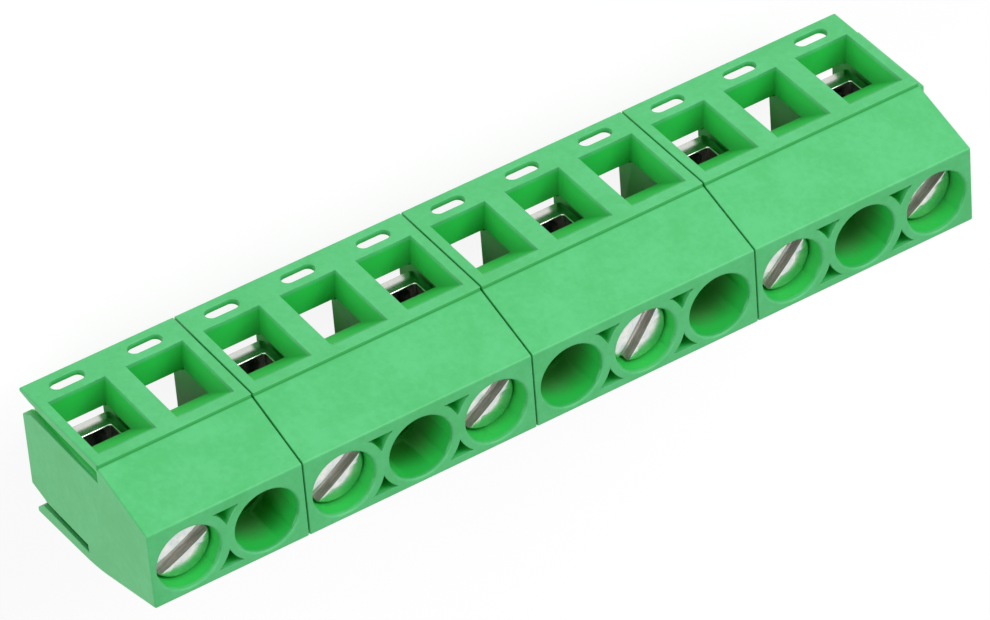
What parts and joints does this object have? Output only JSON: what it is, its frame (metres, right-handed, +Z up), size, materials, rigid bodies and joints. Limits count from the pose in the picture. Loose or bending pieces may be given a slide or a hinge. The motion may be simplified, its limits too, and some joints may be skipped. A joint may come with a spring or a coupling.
{
  "type": "pcb screw terminal",
  "caption": "Low row of board-mounted screw terminals with rising-cage clamps in alternate positions, wire funnels at the front and slotted screws on top.",
  "frame": {"origin": "axis of the solder pin of pole 1 where it enters the board's surface", "axes": "+X along the row from pole 1 to pole 11, +Y from the wire face towards the rear wall, +Z up from the board out of the screw face"},
  "size_m": [0.0556, 0.0088, 0.0168],
  "materials": {
    "housing_moulding": "fine matt green polyamide moulding",
    "screw_plating": "bright zinc plate",
    "cage_plating": "satin nickel plate",
    "contact_plating": "satin tin plate on copper alloy"
  },
  "bodies": {
    "root": {"housing_1": "housing_moulding", "housing_2": "housing_moulding", "housing_3": "housing_moulding", "housing_4": "housing_moulding", "contact_1": "contact_plating", "contact_3": "contact_plating", "contact_5": "contact_plating", "contact_7": "contact_plating", "contact_9": "contact_plating", "contact_11": "contact_plating"},
    "screw_1_body": {"screw_1": "screw_plating"},
    "cage_1_body": {"cage_1": "cage_plating"},
    "screw_3_body": {"screw_3": "screw_plating"},
    "cage_3_body": {"cage_3": "cage_plating"},
    "screw_5_body": {"screw_5": "screw_plating"},
    "cage_5_body": {"cage_5": "cage_plating"},
    "screw_7_body": {"screw_7": "screw_plating"},
    "cage_7_body": {"cage_7": "cage_plating"},
    "screw_9_body": {"screw_9": "screw_plating"},
    "cage_9_body": {"cage_9": "cage_plating"},
    "screw_11_body": {"screw_11": "screw_plating"},
    "cage_11_body": {"cage_11": "cage_plating"}
  },
  "joints": [
    {"name": "screw_1_turn", "type": "hinge", "parent": "root", "child": "screw_1_body", "pos_m": [0, -0.0009, 0.0102], "axis": [0, 0, -1], "range_deg": [0, 1296]},
    {"name": "cage_1_rise", "type": "slide", "parent": "root", "child": "cage_1_body", "axis": [0, 0, 1], "range_m": [0, 0.0018]},
    {"name": "screw_3_turn", "type": "hinge", "parent": "root", "child": "screw_3_body", "pos_m": [0.01, -0.0009, 0.0102], "axis": [0, 0, -1], "range_deg": [0, 1296]},
    {"name": "cage_3_rise", "type": "slide", "parent": "root", "child": "cage_3_body", "axis": [0, 0, 1], "range_m": [0, 0.0018]},
    {"name": "screw_5_turn", "type": "hinge", "parent": "root", "child": "screw_5_body", "pos_m": [0.02, -0.0009, 0.0102], "axis": [0, 0, -1], "range_deg": [0, 1296]},
    {"name": "cage_5_rise", "type": "slide", "parent": "root", "child": "cage_5_body", "axis": [0, 0, 1], "range_m": [0, 0.0018]},
    {"name": "screw_7_turn", "type": "hinge", "parent": "root", "child": "screw_7_body", "pos_m": [0.03, -0.0009, 0.0102], "axis": [0, 0, -1], "range_deg": [0, 1296]},
    {"name": "cage_7_rise", "type": "slide", "parent": "root", "child": "cage_7_body", "axis": [0, 0, 1], "range_m": [0, 0.0018]},
    {"name": "screw_9_turn", "type": "hinge", "parent": "root", "child": "screw_9_body", "pos_m": [0.04, -0.0009, 0.0102], "axis": [0, 0, -1], "range_deg": [0, 1296]},
    {"name": "cage_9_rise", "type": "slide", "parent": "root", "child": "cage_9_body", "axis": [0, 0, 1], "range_m": [0, 0.0018]},
    {"name": "screw_11_turn", "type": "hinge", "parent": "root", "child": "screw_11_body", "pos_m": [0.05, -0.0009, 0.0102], "axis": [0, 0, -1], "range_deg": [0, 1296]},
    {"name": "cage_11_rise", "type": "slide", "parent": "root", "child": "cage_11_body", "axis": [0, 0, 1], "range_m": [0, 0.0018]}
  ],
  "couplings": [
    {"joint": "screw_1_turn", "follows": "cage_1_rise", "rad_per_m": 12566},
    {"joint": "screw_3_turn", "follows": "cage_3_rise", "rad_per_m": 12566},
    {"joint": "screw_5_turn", "follows": "cage_5_rise", "rad_per_m": 12566},
    {"joint": "screw_7_turn", "follows": "cage_7_rise", "rad_per_m": 12566},
    {"joint": "screw_9_turn", "follows": "cage_9_rise", "rad_per_m": 12566},
    {"joint": "screw_11_turn", "follows": "cage_11_rise", "rad_per_m": 12566}
  ]
}
